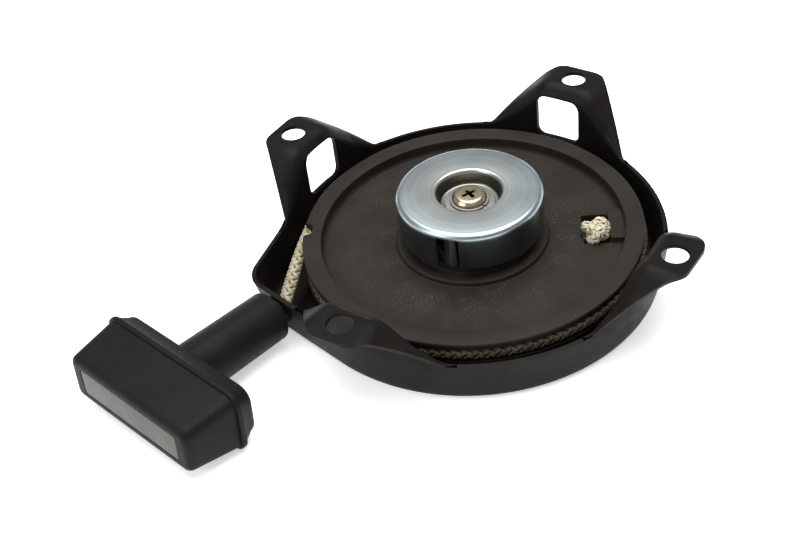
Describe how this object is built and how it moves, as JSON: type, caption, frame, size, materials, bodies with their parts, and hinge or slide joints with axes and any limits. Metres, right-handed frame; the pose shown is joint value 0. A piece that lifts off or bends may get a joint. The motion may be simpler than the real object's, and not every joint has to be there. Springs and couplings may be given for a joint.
{
  "type": "recoil starter",
  "caption": "Pull-cord recoil starter: pressed black housing with raised bolt tabs, rope pulley, plated dog retainer cup and T handle.",
  "frame": {"origin": "centre of the closed face, on the pulley's axis, where the riveted post's flat head is flush", "axes": "+Z along the pulley's axis towards the engine; bolt tabs at 45, 135, 225 and 315 degrees; the rope nose points along -X"},
  "size_m": [0.1899, 0.129, 0.0324],
  "materials": {
    "black_paint": "satin black paint on pressed steel",
    "steel": "plain machined steel",
    "eyelet_steel": "black oxide",
    "rope": "braided nylon cord",
    "zinc": "bright zinc plate",
    "screw": "nickel plate",
    "pulley_plastic": "moulded, slightly dusty",
    "spring_steel": "blued spring steel",
    "handle_plastic": "fine-grained moulded",
    "insert_plastic": "smooth gray plate, blank"
  },
  "bodies": {
    "housing": {"housing": "black_paint", "center_post": "steel", "rope_eyelet": "eyelet_steel", "rope_run": "rope", "brake_washer": "steel", "flat_washer": "zinc", "lock_washer": "zinc", "retainer_screw": "screw"},
    "pulley": {"pulley": "pulley_plastic", "spring_keeper": "steel", "rewind_spring": "spring_steel", "rope_wound": "rope", "pulley_knot": "rope", "dog_spring_a": "spring_steel", "dog_spring_b": "spring_steel", "brake_spring": "spring_steel"},
    "retainer": {"pawl_retainer": "zinc"},
    "dog_a": {"starter_dog_a": "steel"},
    "dog_b": {"starter_dog_b": "steel"},
    "handle": {"handle_stem": "handle_plastic", "handle_grip": "handle_plastic", "handle_insert": "insert_plastic", "rope_staple": "zinc", "rope_tail": "rope", "handle_knot": "rope"}
  },
  "joints": [
    {"name": "pulley_spin", "type": "hinge", "parent": "housing", "child": "pulley", "pos_m": [0, 0, 0.0127], "axis": [0, 0, 1], "range_deg": [0, 1224], "stiffness_Nm_per_rad": 0.02, "springref_deg": -572.96, "deforming": ["rewind_spring", "rope_wound", "rope_run"]},
    {"name": "handle_pull", "type": "slide", "parent": "housing", "child": "handle", "axis": [-0.8014, -0.5952, 0.0593], "range_m": [0, 1], "deforming": ["rope_run"]},
    {"name": "retainer_lag", "type": "hinge", "parent": "pulley", "child": "retainer", "pos_m": [0, 0, 0.0263], "axis": [0, 0, 1], "range_deg": [-14, 0], "stiffness_Nm_per_rad": 0.02, "springref_deg": 17.19},
    {"name": "dog_a_swing", "type": "hinge", "parent": "pulley", "child": "dog_a", "pos_m": [-0.0129, -0.00158, 0.0184], "axis": [0, 0, 1], "range_deg": [-18.9, 0]},
    {"name": "dog_b_swing", "type": "hinge", "parent": "pulley", "child": "dog_b", "pos_m": [0.0129, 0.00158, 0.0184], "axis": [0, 0, 1], "range_deg": [-18.9, 0]}
  ],
  "couplings": [
    {"joint": "handle_pull", "follows": "pulley_spin", "m_per_rad": 0.0467},
    {"joint": "dog_a_swing", "follows": "retainer_lag", "ratio": 1.343},
    {"joint": "dog_b_swing", "follows": "retainer_lag", "ratio": 1.343}
  ]
}
